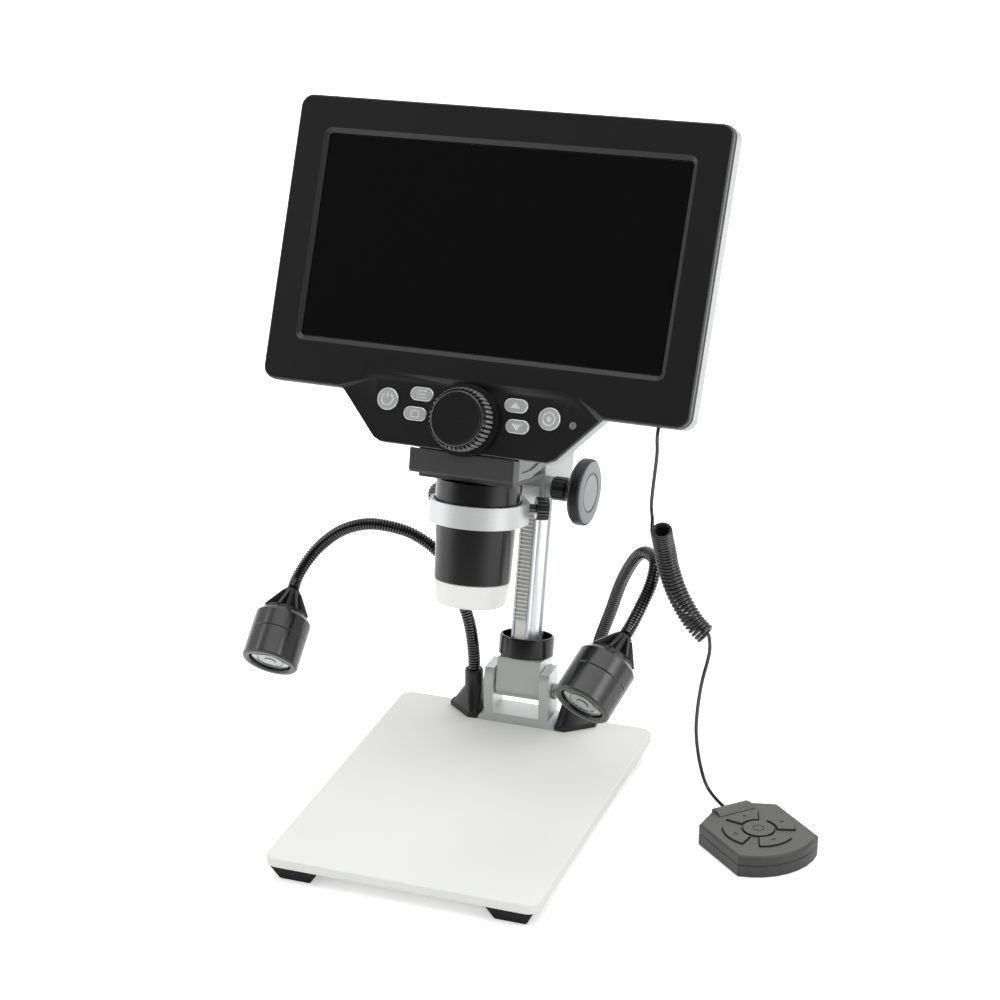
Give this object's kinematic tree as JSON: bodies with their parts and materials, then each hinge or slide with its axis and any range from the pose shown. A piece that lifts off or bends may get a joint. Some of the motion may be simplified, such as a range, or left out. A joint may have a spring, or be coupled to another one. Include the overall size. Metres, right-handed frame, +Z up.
{
  "type": "lcd digital microscope",
  "caption": "Desk microscope with a tilting rack column, a screen head with focus knob and keys, two gooseneck lamps and a wired remote.",
  "frame": {"origin": "centre of the stage plate's top face", "axes": "+Z up, -Y towards the user at the front of the plate, +X to the user's right"},
  "size_m": [0.2544, 0.1952, 0.2793],
  "materials": {
    "painted_plate": "matt",
    "rubber_foot": "matt",
    "aluminium": "satin",
    "steel": "satin",
    "black_plastic": "satin",
    "silver_plastic": "satin paint",
    "carriage_paint": "satin paint",
    "rack_plastic": "satin",
    "button_silver": "satin metallic paint",
    "screen_glass": "gloss",
    "lcd": "satin",
    "board": "matt",
    "frosted": "frosted",
    "clear_lens": "clear",
    "dark_anodised": "satin anodised",
    "black_neck": "satin",
    "remote_grey": "matt",
    "cord_black": "satin"
  },
  "bodies": {
    "base": {"base_plate": "painted_plate", "foot_front_left": "rubber_foot", "foot_front_right": "rubber_foot", "foot_back_left": "rubber_foot", "foot_back_right": "rubber_foot", "clevis_bracket": "aluminium", "tilt_pin": "steel", "lamp_base_left": "black_plastic", "lamp_base_right": "black_plastic", "cord_coil": "cord_black", "cord_lower": "cord_black"},
    "tilt": {"tilt_block": "aluminium"},
    "collar": {"collar_nut": "black_plastic"},
    "mast": {"column": "aluminium", "rack": "rack_plastic"},
    "slider": {"carriage": "carriage_paint", "clamp_arm": "aluminium"},
    "pinion": {"pinion_shaft": "steel", "height_knob": "black_plastic", "height_knob_cap": "aluminium"},
    "screw_right": {"thumb_screw_right": "black_plastic"},
    "screw_left": {"thumb_screw_left": "black_plastic"},
    "head": {"barrel_upper": "black_plastic", "barrel_lower": "black_plastic", "diffuser_cap": "frosted", "led_ring": "frosted", "objective_lens": "clear_lens", "camera_box": "black_plastic", "head_housing": "silver_plastic", "front_bezel": "black_plastic", "screen_glass": "screen_glass", "lcd_module": "lcd", "main_board": "board", "key_board": "board", "rear_shell": "silver_plastic", "indicator_led": "clear_lens", "cord_upper": "cord_black"},
    "focus": {"focus_knob": "black_plastic"},
    "key_power": {"button_power": "button_silver"},
    "key_menu": {"button_menu": "button_silver"},
    "key_mode": {"button_mode": "button_silver"},
    "key_up": {"button_up": "button_silver"},
    "key_down": {"button_down": "button_silver"},
    "key_ok": {"button_ok": "button_silver"},
    "neck_left": {"gooseneck_left": "black_neck"},
    "lamp_left": {"lamp_fins_left": "dark_anodised", "lamp_head_left": "dark_anodised", "lamp_lens_left": "clear_lens"},
    "neck_right": {"gooseneck_right": "black_neck"},
    "lamp_right": {"lamp_fins_right": "dark_anodised", "lamp_head_right": "dark_anodised", "lamp_lens_right": "clear_lens"},
    "remote": {"remote_base": "remote_grey", "remote_top": "remote_grey"},
    "pad_ok": {"remote_ok": "remote_grey"},
    "pad_far": {"remote_far": "remote_grey"},
    "pad_left": {"remote_left": "remote_grey"},
    "pad_near": {"remote_near": "remote_grey"},
    "pad_right": {"remote_right": "remote_grey"}
  },
  "joints": [
    {"name": "column_tilt", "type": "hinge", "parent": "base", "child": "tilt", "pos_m": [0, 0.0699, 0.0155], "axis": [1, 0, 0], "range_deg": [-10, 12.5], "deforming": ["cord_upper", "cord_coil", "cord_lower"]},
    {"name": "collar_spin", "type": "hinge", "parent": "tilt", "child": "collar", "pos_m": [0, 0.07699, 0.02929], "axis": [0, 0.2164, 0.9763], "continuous": true},
    {"name": "column_swing", "type": "hinge", "parent": "tilt", "child": "mast", "pos_m": [0, 0.07699, 0.02929], "axis": [0, 0.2164, 0.9763], "range_deg": [-20, 10], "deforming": ["cord_upper", "cord_coil", "cord_lower"]},
    {"name": "carriage_slide", "type": "slide", "parent": "mast", "child": "slider", "axis": [0, 0.2164, 0.9763], "range_m": [-0.05, 0.03], "deforming": ["cord_upper", "cord_coil", "cord_lower"]},
    {"name": "height_knob_spin", "type": "hinge", "parent": "slider", "child": "pinion", "pos_m": [-0.00095, 0.07992, 0.10505], "axis": [0.9976, -0.0681, 0.0151], "range_deg": [-450, 750]},
    {"name": "thumb_screw_right_spin", "type": "hinge", "parent": "slider", "child": "screw_right", "pos_m": [0.01316, 0.03662, 0.11311], "axis": [0.891, 0.4432, -0.0983], "continuous": true},
    {"name": "thumb_screw_left_spin", "type": "hinge", "parent": "slider", "child": "screw_left", "pos_m": [-0.02104, 0.03896, 0.1126], "axis": [-0.8192, 0.56, -0.1241], "continuous": true},
    {"name": "head_swivel", "type": "hinge", "parent": "slider", "child": "head", "pos_m": [-0.00466, 0.02709, 0.11205], "axis": [0, 0.2164, 0.9763], "range_deg": [-30, 30], "deforming": ["cord_upper", "cord_coil", "cord_lower"]},
    {"name": "focus_knob_spin", "type": "hinge", "parent": "head", "child": "focus", "pos_m": [-0.00607, 0.01606, 0.15577], "axis": [-0.0684, -0.9112, 0.4062], "continuous": true},
    {"name": "press_power", "type": "slide", "parent": "head", "child": "key_power", "axis": [0.0684, 0.9112, -0.4062], "range_m": [0, 0.0007], "stiffness_N_per_m": 300, "springref_m": -0.0005},
    {"name": "press_menu", "type": "slide", "parent": "head", "child": "key_menu", "axis": [0.0684, 0.9112, -0.4062], "range_m": [0, 0.0007], "stiffness_N_per_m": 300, "springref_m": -0.0005},
    {"name": "press_mode", "type": "slide", "parent": "head", "child": "key_mode", "axis": [0.0684, 0.9112, -0.4062], "range_m": [0, 0.0007], "stiffness_N_per_m": 300, "springref_m": -0.0005},
    {"name": "press_up", "type": "slide", "parent": "head", "child": "key_up", "axis": [0.0684, 0.9112, -0.4062], "range_m": [0, 0.0007], "stiffness_N_per_m": 300, "springref_m": -0.0005},
    {"name": "press_down", "type": "slide", "parent": "head", "child": "key_down", "axis": [0.0684, 0.9112, -0.4062], "range_m": [0, 0.0007], "stiffness_N_per_m": 300, "springref_m": -0.0005},
    {"name": "press_ok", "type": "slide", "parent": "head", "child": "key_ok", "axis": [0.0684, 0.9112, -0.4062], "range_m": [0, 0.0007], "stiffness_N_per_m": 300, "springref_m": -0.0005},
    {"name": "neck_left_swing", "type": "hinge", "parent": "base", "child": "neck_left", "pos_m": [-0.0223, 0.0732, 0.019], "axis": [0, 0, 1], "range_deg": [-12, 12]},
    {"name": "lamp_left_aim", "type": "hinge", "parent": "neck_left", "child": "lamp_left", "pos_m": [-0.09868, 0.05491, 0.05349], "axis": [0.9998, -0.0185, 0], "range_deg": [-20, 20]},
    {"name": "neck_right_swing", "type": "hinge", "parent": "base", "child": "neck_right", "pos_m": [0.0223, 0.0732, 0.019], "axis": [0, 0, 1], "range_deg": [-4, 14]},
    {"name": "lamp_right_aim", "type": "hinge", "parent": "neck_right", "child": "lamp_right", "pos_m": [0.05801, 0.02825, 0.06746], "axis": [0.9514, -0.3079, 0], "range_deg": [-20, 20]},
    {"name": "remote_lift", "type": "slide", "parent": "base", "child": "remote", "axis": [0, 0, 1], "range_m": [0, 0.02], "deforming": ["cord_coil", "cord_lower"]},
    {"name": "press_remote_ok", "type": "slide", "parent": "remote", "child": "pad_ok", "axis": [0, 0, -1], "range_m": [0, 0.0006], "stiffness_N_per_m": 250, "springref_m": -0.0005},
    {"name": "press_remote_far", "type": "slide", "parent": "remote", "child": "pad_far", "axis": [0, 0, -1], "range_m": [0, 0.0006], "stiffness_N_per_m": 250, "springref_m": -0.0005},
    {"name": "press_remote_left", "type": "slide", "parent": "remote", "child": "pad_left", "axis": [0, 0, -1], "range_m": [0, 0.0006], "stiffness_N_per_m": 250, "springref_m": -0.0005},
    {"name": "press_remote_near", "type": "slide", "parent": "remote", "child": "pad_near", "axis": [0, 0, -1], "range_m": [0, 0.0006], "stiffness_N_per_m": 250, "springref_m": -0.0005},
    {"name": "press_remote_right", "type": "slide", "parent": "remote", "child": "pad_right", "axis": [0, 0, -1], "range_m": [0, 0.0006], "stiffness_N_per_m": 250, "springref_m": -0.0005}
  ],
  "couplings": [
    {"joint": "height_knob_spin", "follows": "carriage_slide", "rad_per_m": -259.74}
  ]
}
